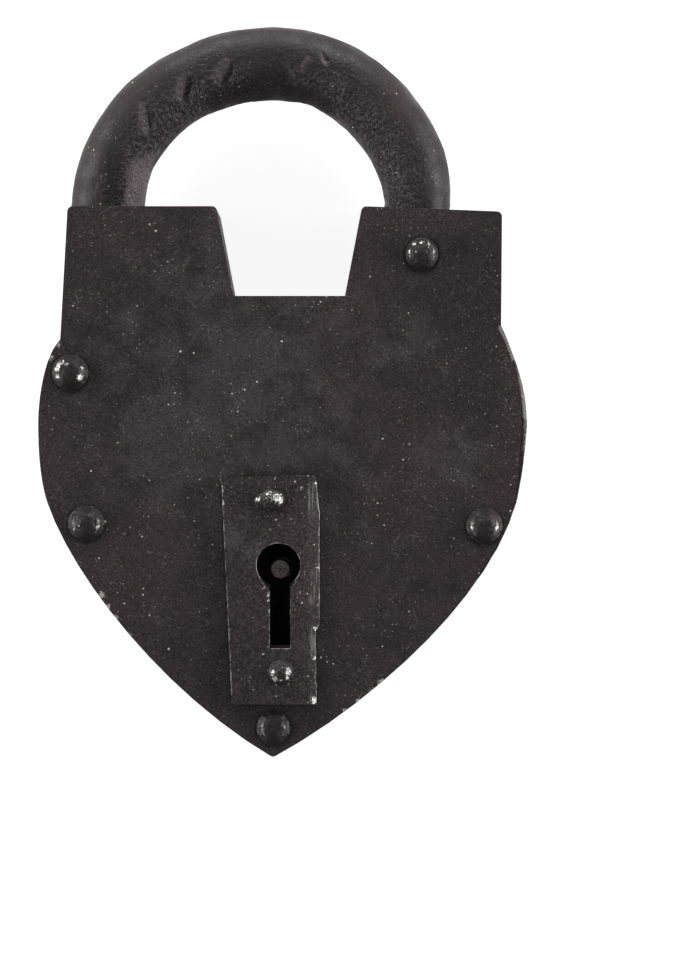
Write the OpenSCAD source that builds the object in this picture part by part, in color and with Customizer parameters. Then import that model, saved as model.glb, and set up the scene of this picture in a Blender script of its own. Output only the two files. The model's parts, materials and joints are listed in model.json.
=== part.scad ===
// Heart-shaped iron padlock, lying on its back.
// +X is the lock's right, +Y runs from the tip to the shackle, +Z comes out of the front.
// The origin is under the middle of the whole lock, on the face that it lies on.

/* [Case] */
// Width across the two lobes of the heart
case_w = 100.4; // [98:0.2:122]
// Length from the tip to the top of the left shoulder
case_l = 112.9; // [108:0.1:136]
// How far the right shoulder stops short of the left one
shoulder_drop = 1.1; // [0:0.1:2]
// Depth over the front and back plates
case_depth = 23; // [22:0.5:30]
// Thickness of the front and back plates
plate_t = 2.5; // [1.5:0.1:3]
// Thickness of the strips bent round the edge
band_t = 1.8; // [1.2:0.1:2.2]
// Rounding of the outer corners
corner_r = 1.1; // [0.4:0.1:1.6]
// How far the front plate stops short of the band on the right lobe
lobe_short = 1.4; // [0:0.1:1.6]
// Depth of the notch between the shoulders
notch_depth = 18.4; // [14:0.2:22]
// Width of the notch at its floor
notch_floor_w = 22.9; // [18:0.1:25]
// Width of the notch at its mouth
notch_mouth_w = 29.9; // [26:0.1:31]

/* [Shackle] */
// Thickness of the round bar over the bow
bar_d = 14.9; // [11:0.1:15.5]
// Width of the hinged leg between its two flats
heel_w = 13.1; // [11:0.1:14.5]
// How far the bow rises above the left shoulder
shackle_rise = 37.9; // [30:0.1:50]
// Length of the straight stretch at the top of the bow
bow_flat = 1.5; // [0.5:0.1:4]
// How much wider the bow's left curve is than its right one
bow_lean = 1.4; // [0:0.1:3]
// Diameter of the toe that enters the left shoulder
toe_d = 11.6; // [9:0.1:12]
// Depth of the toe below the shoulder
toe_l = 19.8; // [17:0.1:22]
// Depth of the notch that takes the bolt
toe_notch = 4; // [3:0.1:5]
// How far the shackle swings open, in degrees
shackle_open = 35; // [10:1:35]

/* [Rivets] */
// Diameter of the four rivets round the edge
rivet_head_d = 7.4; // [5.5:0.1:8]
// Diameter of their shanks
rivet_shank_d = 4; // [3:0.1:4.4]
// Diameter of the head of the rivet that the shackle turns on
pivot_head_d = 6.7; // [6:0.1:8]
// Diameter of its shank
pivot_shank_d = 5; // [4:0.1:5.4]
// Rise of the round heads
head_h = 2.4; // [1.5:0.1:3]

/* [Keyhole] */
// Thickness of the strip round the keyhole
strip_t = 1.6; // [1:0.1:2]
// Length of the strip
strip_l = 47; // [42:0.5:48]
// Diameter of the round part of the keyhole
key_bore_d = 9; // [8:0.1:9.6]
// Width of the slot below it
key_slot_w = 4.2; // [3:0.1:4.6]
// Diameter of the pin that the hollow key goes over
drill_pin_d = 3.7; // [2.5:0.1:4]

/* [Lockwork] */
// How far a turn of the key shoots the bolt
bolt_throw = 8; // [6:0.1:8]
// Thickness of the bolt
bolt_t = 5; // [4:0.1:6]
// Width of the bolt's upright arm
arm_w = 6.4; // [5:0.1:6.4]
// Height of the bolt's foot
foot_h = 12; // [10:0.1:14]
// Diameter of the studs that guide the bolt
stud_d = 3; // [2:0.1:3.4]
// Reach of the key's bit from the drill pin
bit_reach = 15.6; // [14:0.1:15.8]
// Thickness of the leaf spring
spring_t = 0.8; // [0.6:0.1:1]

/* [Fits] */
// Clearance round a turning pin, on the radius
pin_gap = 0.05; // [0.02:0.01:0.1]
// Space between moving and fixed faces
slide_gap = 0.3; // [0.2:0.05:0.4]

/* [Hidden] */
$fn = 64;

iron = "#3a3334";
worn_iron = "#6d6667";
inner_iron = "#554c49";
spring_steel = "#777777";

eps = 0.01;
overall_l = case_l + shackle_rise;
inner_back = plate_t;
inner_front = case_depth - plate_t;
mid_z = case_depth / 2;

// Places on the case, as shares of its half width and of its length from the tip
function at(u, v) = [u * case_w / 2, v * case_l];

// The heart's outline. Each side runs in three curves: from the waist under the shoulder to the
// widest point, down the flat of the lobe, and along the flank to the tip. A row holds a point
// and the two handles before and after it.
tip = at(-0.041, -0.0015);
waist_left = at(-0.91, 0.758);
waist_right = at(0.891, 0.783);
shoulder_left = at(-0.88, 1);
shoulder_right = [0.895 * case_w / 2, case_l - shoulder_drop];
notch_mid = 0.025 * case_w / 2;
notch_y = case_l - notch_depth;

left_side = [
    [waist_left, [0, 0], at(-0.07, -0.031)],
    [at(-1, 0.607), at(0, 0.036), at(0, -0.043)],
    [at(-0.962, 0.461), at(-0.033, 0.043), at(0.103, -0.134)],
    [tip, at(-0.448, 0.117), [0, 0]]
];
right_side = [
    [waist_right, [0, 0], at(0.072, -0.065)],
    [at(1, 0.607), at(0, 0.058), at(0, -0.032)],
    [at(0.956, 0.461), at(0.016, 0.025), at(-0.103, -0.16)],
    [tip, at(0.464, 0.113), [0, 0]]
];

function bezier(a, b, c, d, t) =
    pow(1 - t, 3) * a + 3 * t * pow(1 - t, 2) * b + 3 * t * t * (1 - t) * c + pow(t, 3) * d;

function curve(rows, steps = 12) = [
    for (i = [1 : len(rows) - 1], s = [0 : steps - 1])
        bezier(rows[i - 1][0], rows[i - 1][0] + rows[i - 1][2],
               rows[i][0] + rows[i][1], rows[i][0], s / steps)
];

function reversed(list) = [for (i = [len(list) - 1 : -1 : 0]) list[i]];

// The right side with its widest point drawn in
function drawn_in(rows, by) = [
    for (i = [0 : len(rows) - 1])
        [rows[i][0] - [i == 1 ? by : i == 2 ? by / 2 : 0, 0], rows[i][1], rows[i][2]]
];

notch_outline = [
    [notch_mid - notch_mouth_w / 2, case_l], [notch_mid - notch_floor_w / 2, notch_y],
    [notch_mid + notch_floor_w / 2, notch_y], [notch_mid + notch_mouth_w / 2, case_l]
];

// Shackle: its two legs, the bow between them, and the rivet that it turns on
pivot = [shoulder_right[0] - 16.5, case_l - 9.8];
leg_offset = 0.8;
heel_x = pivot[0] - leg_offset;
toe_x = shoulder_left[0] + 8.6;
leg_x = toe_x - leg_offset;
left_r = (heel_x - leg_x - bow_flat + bow_lean) / 2;
right_r = left_r - bow_lean;
bow_top = overall_l - bar_d / 2;
apex_x = leg_x + left_r;
step_y = case_l + slide_gap;
toe_end = case_l - toe_l;
heel_r = 6.6;
heel_t = inner_front - inner_back - 2 * slide_gap;

// Openings in the band that the toe and the heel pass through. The toe's hole is drawn out
// sideways, because the toe swings in and out on an arc.
toe_hole_r = toe_d / 2 + slide_gap;
toe_hole = [toe_x - 0.55, toe_x + 1.25];
heel_edge = [heel_x - pivot[0] + bar_d / 2, shoulder_right[1] - pivot[1]];
heel_slot = [
    pivot[0] - bar_d / 2 - leg_offset,
    pivot[0] + heel_edge[0] / cos(shackle_open) + heel_edge[1] * tan(shackle_open) + 2 * slide_gap
];
heel_slot_w = bar_d + 2 * slide_gap;

// Keyhole
key_axis = [-0.6, 38.4];
key_bore = key_axis + [-0.3, 0.9];
slot_end = key_axis[1] - bit_reach;
slot_step = 0.5;
// Corners filed off between the round hole and the slot, from the key's axis
filed_throat = [
    [-key_bore_d / 2 + 0.4, -1.8], [-key_slot_w / 2, -4.5], [key_slot_w / 2, -3.7],
    [key_bore_d / 2 - 1.3, -2.6], [key_slot_w / 2, 0], [-key_slot_w / 2, 0]
];
strip_top = key_axis[1] + 19.4;
strip_left = key_axis[0] - 12;
strip_right = key_axis[0] + 8.1;
strip_lean = 2.2;
strip_round = 0.7;
bevel_w = 2.3;
bevel_angle = 24;

// Bolt: the head enters the toe's notch, the foot lies above the key
toe_notch_top = pivot[1] - 2;
toe_notch_h = 5;
head_side_gap = 0.2;
head_tip_gap = 0.45;
head_l = 5;
head_tip = toe_x + toe_d / 2 - toe_notch + head_tip_gap + bolt_throw;
arm_x = head_tip + head_l;
foot_y = key_axis[1] + 13;
foot_end = key_axis[0] + 26.1;
talon_w = 13.3;
talon_depth = 3;
bolt_z = mid_z - bolt_t / 2;
stud_y = foot_y + 0.65 * foot_h;
stud_left = [key_axis[0] - 12.4, stud_y];
stud_right = [key_axis[0] + 12.6, stud_y];
collar_d = 7;
washer_t = 0.8;

// Leaf spring: an arc whose lowest point bears on the foot
spring_r = 26;
spring_mid = [key_axis[0] + 2.6, foot_y + foot_h + slide_gap + spring_r];
spring_w = 5;
spring_from = -115;
spring_to = -42;
post_d = 4.6;
post_rise = 1;

// Rivets: how far a tail is spread behind the back plate's hole, and over what depth
tail_spread = 1;
tail_h = 1;

// Wards: a curb round the key's sweep with a lip for the slots in its bit
ward_r = bit_reach + 0.6;
ward_t = 1.2;
lip_r = bit_reach - 2.8;
ward_h = 4.5;
ward_gap = 70;

module on_case() { translate([0, -overall_l / 2, 0]) children(); }

module standing(p, z = 0) { translate([p[0], p[1], z]) children(); }

module raw_case_shape(short = 0) {
    polygon(concat(
        [shoulder_left], curve(left_side), [tip],
        reversed(curve(drawn_in(right_side, short))), [shoulder_right],
        reversed(notch_outline)
    ));
}

module case_shape(short = 0) {
    offset(r = corner_r) offset(delta = -corner_r) raw_case_shape(short);
}

module band_shape() {
    difference() {
        case_shape();
        offset(delta = -band_t) raw_case_shape();
    }
}

module notch_zone() { offset(delta = band_t) polygon(notch_outline); }

module dome(d, h) {
    sphere_r = (d * d / 4 + h * h) / (2 * h);
    intersection() {
        translate([0, 0, h - sphere_r]) sphere(r = sphere_r);
        cylinder(d = d + 1, h = h + 1);
    }
}

// A rivet through both plates: round head in front, shank, and a tail spread flush behind
module rivet(head_d, shank_d) {
    translate([0, 0, case_depth]) dome(head_d, head_h);
    cylinder(d = shank_d, h = case_depth + eps);
    tail(shank_d);
}

// The end of a pin, spread into a countersink from the back
module tail(shank_d) {
    cylinder(d1 = shank_d + 2 * tail_spread, d2 = shank_d, h = tail_h);
}

module rivet_hole(shank_d) {
    r = shank_d / 2 + pin_gap;
    translate([0, 0, -eps]) cylinder(r = r, h = case_depth + 2 * eps);
    translate([0, 0, -eps]) cylinder(r1 = r + tail_spread, r2 = r, h = tail_h + eps);
}

// A smaller hole for a pin through the front, from the given height
module pin_hole(z, h) {
    translate([0, 0, z - eps]) cylinder(r = strip_shank_d / 2 + pin_gap, h = h + 2 * eps);
}

rivet_left_at = at(-0.869, 0.698);
rivet_lower_left_at = at(-0.803, 0.424);
rivet_lower_right_at = at(0.823, 0.42);
rivet_tip_at = [tip[0] + 0.1, 6.0];
strip_rivet_upper = key_axis + [-2.1, 14.1];
strip_rivet_lower = key_axis + [0.2, -21];
strip_shank_d = 3;
drill_tail_d = drill_pin_d + 1;

module rivet_holes() {
    for (p = [rivet_left_at, rivet_lower_left_at, rivet_lower_right_at, rivet_tip_at])
        standing(p) rivet_hole(rivet_shank_d);
    standing(pivot) rivet_hole(pivot_shank_d);
}

// Round hole with a slot below it, cut down to the given end
module keyhole(z, h, end) {
    standing(key_bore, z) cylinder(d = key_bore_d, h = h);
    translate([key_axis[0] - key_slot_w / 2, end, z]) cube([key_slot_w, key_bore[1] - end, h]);
}

module front_plate() {
    color(iron) on_case() difference() {
        translate([0, 0, inner_front]) linear_extrude(plate_t) case_shape(lobe_short);
        rivet_holes();
        keyhole(inner_front - eps, plate_t + 2 * eps, slot_end);
        for (p = [strip_rivet_upper, strip_rivet_lower]) standing(p) pin_hole(inner_front, plate_t);
    }
}

module back_plate() {
    color(iron) on_case() difference() {
        linear_extrude(plate_t) case_shape();
        rivet_holes();
        standing(key_axis) rivet_hole(drill_tail_d);
        for (p = [stud_left, stud_right, spring_post_at]) standing(p) rivet_hole(stud_d);
    }
}

module side_band() {
    color(iron) on_case() difference() {
        translate([0, 0, inner_back]) linear_extrude(inner_front - inner_back)
            difference() { band_shape(); notch_zone(); }
        for (x = toe_hole) translate([x, case_l + 1, mid_z]) rotate([90, 0, 0])
            cylinder(r = toe_hole_r, h = band_t + 3);
        translate([toe_hole[0], case_l - band_t - 1, mid_z - toe_hole_r])
            cube([toe_hole[1] - toe_hole[0], band_t + 2, 2 * toe_hole_r]);
        translate([heel_slot[0], case_l - band_t - 3, mid_z - heel_slot_w / 2])
            cube([heel_slot[1] - heel_slot[0], band_t + 4, heel_slot_w]);
    }
}

module notch_band() {
    color(iron) on_case()
        translate([0, 0, inner_back]) linear_extrude(inner_front - inner_back)
            intersection() { band_shape(); notch_zone(); }
}

// The round bar: two curves with a straight stretch between them, and the hinged leg
module bow() {
    translate([apex_x, bow_top, mid_z]) {
        translate([0, -left_r, 0]) {
            rotate([0, 0, 90]) rotate_extrude(angle = 90) translate([left_r, 0]) circle(d = bar_d);
            translate([-left_r, 0, 0]) rotate([90, 0, 0]) cylinder(d = bar_d, h = toe_l);
        }
        rotate([0, 90, 0]) cylinder(d = bar_d, h = bow_flat);
        translate([bow_flat, -right_r, 0]) {
            rotate_extrude(angle = 90) translate([right_r, 0]) circle(d = bar_d);
            translate([right_r, 0, 0]) rotate([90, 0, 0])
                cylinder(d = bar_d, h = bow_top - right_r - pivot[1]);
        }
    }
}

// What the smith's flats take off the two sides of the hinged leg. They run out up the bow.
module heel_flats() {
    flat_h = 9;
    runout_h = 17;
    runout_w = 2;
    for (side = [-1, 1]) translate([heel_x, pivot[1], 0]) linear_extrude(case_depth)
        polygon([
            [side * heel_w / 2, -1], [side * heel_w / 2, flat_h],
            [side * (heel_w / 2 + runout_w), runout_h], [side * bar_d, runout_h], [side * bar_d, -1]
        ]);
}

module toe() {
    chamfer = 1;
    translate([toe_x, toe_end, mid_z]) rotate([-90, 0, 0]) {
        cylinder(d1 = toe_d - 2 * chamfer, d2 = toe_d, h = chamfer);
        translate([0, 0, chamfer]) cylinder(d = toe_d, h = step_y + 1 - toe_end - chamfer);
    }
}

module shackle() {
    color(iron) on_case() difference() {
        union() {
            difference() {
                bow();
                translate([leg_x - bar_d, 0, -1]) cube([2 * bar_d, step_y, case_depth + 2]);
                heel_flats();
            }
            toe();
            standing(pivot, mid_z - heel_t / 2) cylinder(r = heel_r, h = heel_t);
        }
        standing(pivot, -1) cylinder(r = pivot_shank_d / 2 + pin_gap, h = case_depth + 2);
        translate([toe_x + toe_d / 2 - toe_notch, toe_notch_top - toe_notch_h, 0])
            cube([toe_notch + 1, toe_notch_h, case_depth]);
    }
}

module shackle_pivot_rivet() {
    color(worn_iron) on_case() standing(pivot) rivet(pivot_head_d, pivot_shank_d);
}

module edge_rivet(place) {
    color(iron) on_case() standing(place) rivet(rivet_head_d, rivet_shank_d);
}

module rivet_left() { edge_rivet(rivet_left_at); }
module rivet_lower_left() { edge_rivet(rivet_lower_left_at); }
module rivet_lower_right() { edge_rivet(rivet_lower_right_at); }
module rivet_tip() { edge_rivet(rivet_tip_at); }

module strip_shape() {
    bottom = strip_top - strip_l;
    step = bottom + 16;
    offset(r = strip_round) offset(delta = -strip_round) polygon([
        [strip_left, strip_top - 0.5], [strip_left + strip_lean, bottom],
        [strip_right - 0.6, bottom], [strip_right - 0.8, step - 0.8], [strip_right, step],
        [strip_right, strip_top - 8], [strip_right - 0.7, strip_top]
    ]);
}

module keyhole_plate() {
    color(iron) on_case() difference() {
        translate([0, 0, case_depth]) linear_extrude(strip_t) strip_shape();
        keyhole(case_depth - eps, strip_t + 2 * eps, slot_end - slot_step);
        standing(key_axis, case_depth - eps) linear_extrude(strip_t + 2 * eps) polygon(filed_throat);
        for (p = [strip_rivet_upper, strip_rivet_lower]) standing(p) pin_hole(case_depth, strip_t);
        translate([strip_right - bevel_w, strip_top - strip_l - 1, case_depth + strip_t])
            rotate([0, bevel_angle, 0]) cube([bevel_w * 2, strip_l + 2, strip_t]);
    }
}

// Shank through the strip and the front plate, ending flush inside
module strip_shank() {
    translate([0, 0, inner_front]) cylinder(d = strip_shank_d, h = plate_t + strip_t + eps);
}

module keyhole_rivet_upper() {
    color(worn_iron) on_case() standing(strip_rivet_upper) {
        strip_shank();
        translate([0, 0, case_depth + strip_t]) {
            dome(4.8, 1.5);
            translate([-1.5, -0.1, 0]) dome(3.4, 1.2);
            translate([1, 0, 0]) dome(4.4, 1.6);
        }
    }
}

module keyhole_rivet_lower() {
    color(worn_iron) on_case() standing(strip_rivet_lower) {
        strip_shank();
        translate([0, 0, case_depth + strip_t]) dome(5.3, 1.5);
    }
}

module drill_pin() {
    color(worn_iron) on_case() standing(key_axis) {
        cylinder(d = drill_pin_d, h = inner_front - 1);
        cylinder(d = drill_tail_d, h = inner_back);
        tail(drill_tail_d);
    }
}

module ward() {
    rotate([0, 0, -90 + ward_gap / 2]) rotate_extrude(angle = 360 - ward_gap) polygon([
        [ward_r, 0], [ward_r + ward_t, 0], [ward_r + ward_t, ward_h],
        [lip_r, ward_h], [lip_r, ward_h - ward_t], [ward_r, ward_h - ward_t]
    ]);
}

module ward_back() { color(inner_iron) on_case() standing(key_axis, inner_back) ward(); }
module ward_front() {
    color(inner_iron) on_case() standing(key_axis, inner_front) mirror([0, 0, 1]) ward();
}

module bolt() {
    head_y = toe_notch_top - toe_notch_h + head_side_gap;
    head_h = toe_notch_h - 2 * head_side_gap;
    slot_r = stud_d / 2 + slide_gap;
    color(inner_iron) on_case() difference() {
        translate([0, 0, bolt_z]) union() {
            translate([head_tip, head_y, 0]) cube([arm_x - head_tip + arm_w, head_h, bolt_t]);
            translate([arm_x, foot_y, 0]) cube([arm_w, head_y + head_h - foot_y, bolt_t]);
            translate([arm_x, foot_y, 0]) cube([foot_end - arm_x, foot_h, bolt_t]);
        }
        translate([key_axis[0] + bolt_throw / 2 - talon_w / 2, foot_y - 1, 0])
            cube([talon_w, talon_depth + 1, case_depth]);
        for (p = [stud_left, stud_right]) {
            for (x = [0, bolt_throw]) standing(p + [x, 0]) cylinder(r = slot_r, h = case_depth);
            standing(p - [0, slot_r]) cube([bolt_throw, 2 * slot_r, case_depth]);
        }
    }
}

// Stud: spread tail, shank through the back plate, collar under the bolt, neck, spread end
module stud() {
    collar_top = bolt_z - slide_gap;
    neck_top = bolt_z + bolt_t + slide_gap + washer_t;
    tail(stud_d);
    cylinder(d = stud_d, h = neck_top);
    translate([0, 0, inner_back]) cylinder(d = collar_d, h = collar_top - inner_back);
    translate([0, 0, neck_top]) dome(stud_d + 1.6, 0.9);
}

module washer() {
    translate([0, 0, bolt_z + bolt_t + slide_gap]) difference() {
        cylinder(d = collar_d, h = washer_t);
        translate([0, 0, -eps]) cylinder(r = stud_d / 2 + pin_gap, h = washer_t + 2 * eps);
    }
}

module bolt_stud_left() { color(inner_iron) on_case() standing(stud_left) stud(); }
module bolt_stud_right() { color(inner_iron) on_case() standing(stud_right) stud(); }
module bolt_washer_left() { color(inner_iron) on_case() standing(stud_left) washer(); }
module bolt_washer_right() { color(inner_iron) on_case() standing(stud_right) washer(); }

spring_post_at = spring_mid + (spring_r - spring_t / 2) * [cos(spring_to), sin(spring_to)];

// The leaf, or with a margin the slit that it stands in
module leaf(margin = 0) {
    standing(spring_mid, mid_z - spring_w / 2 - margin) rotate([0, 0, spring_from])
        rotate_extrude(angle = spring_to - spring_from + margin)
            translate([spring_r - spring_t - margin, 0])
                square([spring_t + 2 * margin, spring_w + 2 * margin]);
}

module bolt_spring() { color(spring_steel) on_case() leaf(); }

module spring_post() {
    color(inner_iron) on_case() difference() {
        standing(spring_post_at) union() {
            tail(stud_d);
            cylinder(d = stud_d, h = inner_back + eps);
            translate([0, 0, inner_back])
                cylinder(d = post_d, h = mid_z + spring_w / 2 + post_rise - inner_back);
        }
        leaf(pin_gap);
    }
}

front_plate();
back_plate();
side_band();
notch_band();
shackle();
shackle_pivot_rivet();
rivet_left();
rivet_lower_left();
rivet_lower_right();
rivet_tip();
keyhole_plate();
keyhole_rivet_upper();
keyhole_rivet_lower();
drill_pin();
ward_front();
ward_back();
bolt();
bolt_stud_left();
bolt_stud_right();
bolt_washer_left();
bolt_washer_right();
bolt_spring();
spring_post();
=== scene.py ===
"""Dress a heart-shaped iron padlock: worked surfaces, worn finishes, light and camera.

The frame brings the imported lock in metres, lying on its back. The plates, the bands, the shackle,
the keyhole strip and the rivets are made again here with rounded, worn and hammered surfaces.
The lockwork inside keeps its own meshes and gets finishes only.
"""

import json
import logging
import math
from dataclasses import dataclass, field, replace
from enum import Enum
from functools import cached_property

import bmesh
import bpy
from mathutils import Matrix, Vector, noise

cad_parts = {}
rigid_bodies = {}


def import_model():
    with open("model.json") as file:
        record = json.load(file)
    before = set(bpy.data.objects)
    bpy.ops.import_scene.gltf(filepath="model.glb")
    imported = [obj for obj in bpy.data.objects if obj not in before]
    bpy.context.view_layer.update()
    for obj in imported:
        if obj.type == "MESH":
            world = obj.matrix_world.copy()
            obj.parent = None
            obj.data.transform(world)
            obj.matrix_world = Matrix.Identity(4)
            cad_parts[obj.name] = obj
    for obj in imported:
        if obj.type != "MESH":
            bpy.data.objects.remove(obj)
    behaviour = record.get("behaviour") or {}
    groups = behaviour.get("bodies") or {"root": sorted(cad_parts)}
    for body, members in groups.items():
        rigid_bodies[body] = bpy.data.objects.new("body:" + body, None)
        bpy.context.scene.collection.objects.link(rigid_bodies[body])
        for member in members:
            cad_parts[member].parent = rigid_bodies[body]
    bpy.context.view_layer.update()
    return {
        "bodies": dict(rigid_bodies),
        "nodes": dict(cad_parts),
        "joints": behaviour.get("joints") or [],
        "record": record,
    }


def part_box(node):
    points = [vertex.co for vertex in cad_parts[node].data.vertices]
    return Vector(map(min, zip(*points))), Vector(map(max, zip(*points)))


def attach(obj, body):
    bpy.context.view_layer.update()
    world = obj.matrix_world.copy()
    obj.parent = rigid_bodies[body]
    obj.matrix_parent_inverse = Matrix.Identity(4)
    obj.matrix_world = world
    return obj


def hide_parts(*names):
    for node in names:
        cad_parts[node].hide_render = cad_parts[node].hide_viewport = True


Colour = tuple[float, float, float]
Triple = tuple[float, float, float]
Pair = tuple[float, float]
Inputs = dict[int | str, object]
Socket = bpy.types.NodeSocket
BMesh = bmesh.types.BMesh

MM = 0.001
WHITE = (1.0, 1.0, 1.0, 1.0)
LINT_TONE: Colour = (0.20, 0.185, 0.175)
WARM_DUST: Colour = (0.50, 0.44, 0.34)
GREY_DUST: Colour = (0.68, 0.66, 0.64)
FILED_TONE: Colour = (0.15, 0.138, 0.135)
LOG = logging.getLogger("padlock")


class Body(Enum):
    """The bodies that the worked pieces ride on."""

    CASE = "case"
    SHACKLE = "shackle"


class Slot(Enum):
    """The material slots of the worked pieces."""

    BLACKENED = "blackened_iron"
    RIVET = "worn_rivet"


class Grain(Enum):
    """How a surface was worked, as the length of its grain along each axis."""

    EVEN = (1.0, 1.0, 1.0)
    FILED_ALONG = (1.0, 14.0, 1.0)
    DRAWN_UP = (1.0, 1.0, 7.0)


# ---------------------------------------------------------------- finishes


@dataclass(frozen=True)
class Spot:
    """A patch at a fixed place, in the row frame and in millimetres."""

    at: Triple
    radius: float
    strength: float = 1.0
    core: float = 0.2


def level_spots(z: float, *rows: tuple[float, ...]) -> tuple[Spot, ...]:
    """Return patches at one height, from rows of x, y, radius, strength and perhaps core."""
    return tuple(Spot((x, y, z), *rest) for x, y, *rest in rows)


def row_of_spots(points: tuple[Triple, ...], radius: float, strength: float) -> tuple[Spot, ...]:
    """Lay overlapping patches along a line through some points.

    Args:
        points: The line's points in millimetres.
        radius: Radius of each patch.
        strength: Strength of each patch.

    Returns:
        The patches, about one radius apart.
    """
    spots = []
    for start, end in zip(points, points[1:]):
        way = Vector(end) - Vector(start)
        count = max(1, round(way.length / radius))
        spots += [Spot(tuple(Vector(start) + way * i / count), radius, strength) for i in range(count)]
    return tuple(spots)


class Graph:
    """The node tree of a material or world, with short ways to add nodes and join them."""

    def __init__(self, owner: bpy.types.Material | bpy.types.World) -> None:
        """Empty the node tree of its owner."""
        owner.use_nodes = True
        self.tree = owner.node_tree
        self.tree.nodes.clear()

    @cached_property
    def place(self) -> Socket:
        """Return the coordinates of the object, from one node."""
        return self.add("ShaderNodeTexCoord").outputs["Object"]

    def add(self, kind: str, inputs: Inputs | None = None, **settings: object) -> bpy.types.Node:
        """Add a node.

        Args:
            kind: The node's type.
            inputs: Values or sockets for its inputs, by name or number.
            **settings: Properties of the node itself.

        Returns:
            The new node.
        """
        node = self.tree.nodes.new(kind)
        for name, value in settings.items():
            setattr(node, name, value)
        for key, value in (inputs or {}).items():
            if isinstance(value, Socket):
                self.tree.links.new(value, node.inputs[key])
            else:
                node.inputs[key].default_value = value
        return node

    def math(self, operation: str, a: object, b: object = 0.0) -> Socket:
        """Return a sum, product or other result of two numbers, held between 0 and 1."""
        return self.add("ShaderNodeMath", {0: a, 1: b}, operation=operation, use_clamp=True).outputs[0]

    def stretched(self, stretch: Triple, turn: float = 0.0) -> Socket:
        """Return object coordinates turned about Z, in degrees, and then stretched along each axis."""
        mapping = {"Vector": self.place, "Scale": stretch, "Rotation": (0.0, 0.0, math.radians(turn))}
        return self.add("ShaderNodeMapping", mapping, vector_type="TEXTURE").outputs[0]

    def noise(self, size: float, detail: float = 2.0, rough: float = 0.5, **more: object) -> Socket:
        """Return a cloudy noise.

        Args:
            size: Size of its features in millimetres.
            detail: How many finer layers it holds.
            rough: How strong the finer layers are.
            **more: Optionally vector, the coordinates, distortion, and spread, the distance from
                the middle value at which the result reaches 0 and 1.

        Returns:
            A value from 0 to 1.
        """
        inputs = {
            "Vector": more.get("vector", self.place),
            "Scale": 1.0 / (size * MM),
            "Detail": detail,
            "Roughness": rough,
            "Distortion": more.get("distortion", 0.0),
        }
        raw = self.add("ShaderNodeTexNoise", inputs).outputs[0]
        spread = more.get("spread", 0.22)
        return self.fade(raw, 0.5 - spread, 0.5 + spread)

    def fade(self, value: object, low: float, high: float, top: float = 1.0) -> Socket:
        """Return a smooth rise from 0 where value is low to top where it is high."""
        inputs = {"Value": value, "From Min": low, "From Max": high, "To Min": 0.0, "To Max": top}
        return self.add("ShaderNodeMapRange", inputs, interpolation_type="SMOOTHSTEP").outputs[0]

    def blend(self, share: object, a: object, b: object) -> Socket:
        """Return colour a turning into colour b by share."""
        pair = {0: share, 6: self.colour(a), 7: self.colour(b)}
        return self.add("ShaderNodeMix", pair, data_type="RGBA").outputs[2]

    @staticmethod
    def colour(value: object) -> object:
        """Return a colour with its alpha, or the socket as it is."""
        return (*value, 1.0) if isinstance(value, tuple) else value

    def level(self, share: object, a: float, b: float) -> Socket:
        """Return a number between a and b by share."""
        inputs = {"Value": share, "To Min": a, "To Max": b}
        return self.add("ShaderNodeMapRange", inputs).outputs[0]

    def specks(self, cell: float, radius: float, share: float) -> Socket:
        """Return a mask of round specks.

        Args:
            cell: Distance between the places where a speck may lie, in millimetres.
            radius: The largest radius of a speck in millimetres.
            share: The part of the places that have one.

        Returns:
            1 on a speck and 0 elsewhere.
        """
        cells = self.add("ShaderNodeTexVoronoi", {"Vector": self.place, "Scale": 1.0 / (cell * MM)})
        luck = self.add("ShaderNodeSeparateColor", {0: cells.outputs["Color"]}).outputs
        size = self.fade(luck[0], 1.0 - share, 1.0, radius / cell)
        return self.fade(self.math("SUBTRACT", size, cells.outputs["Distance"]), 0.0, 0.25 * radius / cell)

    def edges(self, radius: float) -> Socket:
        """Return a mask that rises where a face turns a corner within radius millimetres."""
        soft = self.add("ShaderNodeBevel", {"Radius": radius * MM}, samples=4).outputs[0]
        true = self.add("ShaderNodeNewGeometry").outputs["Normal"]
        lean = self.add("ShaderNodeVectorMath", {0: soft, 1: true}, operation="DOT_PRODUCT")
        return self.fade(self.math("SUBTRACT", 1.0, lean.outputs["Value"]), 0.01, 0.2)

    def spots(self, spots: tuple[Spot, ...], ragged: object, border: float = 0.35) -> Socket:
        """Return a mask of patches at fixed places.

        Args:
            spots: The patches.
            ragged: A noise that breaks their borders.
            border: How soft the borders are, from 0 to about 0.4.

        Returns:
            1 inside a patch and 0 outside.
        """
        total = self.math("ADD", 0.0, 0.0)
        for spot in spots:
            centre = tuple(value * MM for value in spot.at)
            gap = self.add("ShaderNodeVectorMath", {0: self.place, 1: centre}, operation="DISTANCE")
            near = self.fade(gap.outputs["Value"], spot.radius * MM, spot.radius * spot.core * MM)
            total = self.math("ADD", total, self.math("MULTIPLY", near, spot.strength))
        shifted = self.math("ADD", total, self.level(ragged, -0.35, 0.35))
        inside = self.fade(shifted, 0.46 - border, 0.46 + border)
        return self.math("MULTIPLY", inside, self.fade(total, 0.02, 0.2))

    def layer(self, name: str) -> Socket:
        """Return a value that the mesh holds, or 0 where it holds none."""
        return self.add("ShaderNodeAttribute", attribute_name=name).outputs["Fac"]

    def bump(self, height: object, depth: float, under: object = None) -> Socket:
        """Return a normal raised by height times depth millimetres over the one under it."""
        inputs = {"Height": height, "Distance": depth * MM, "Strength": 1.0}
        if under is not None:
            inputs["Normal"] = under
        return self.add("ShaderNodeBump", inputs).outputs[0]


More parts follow.
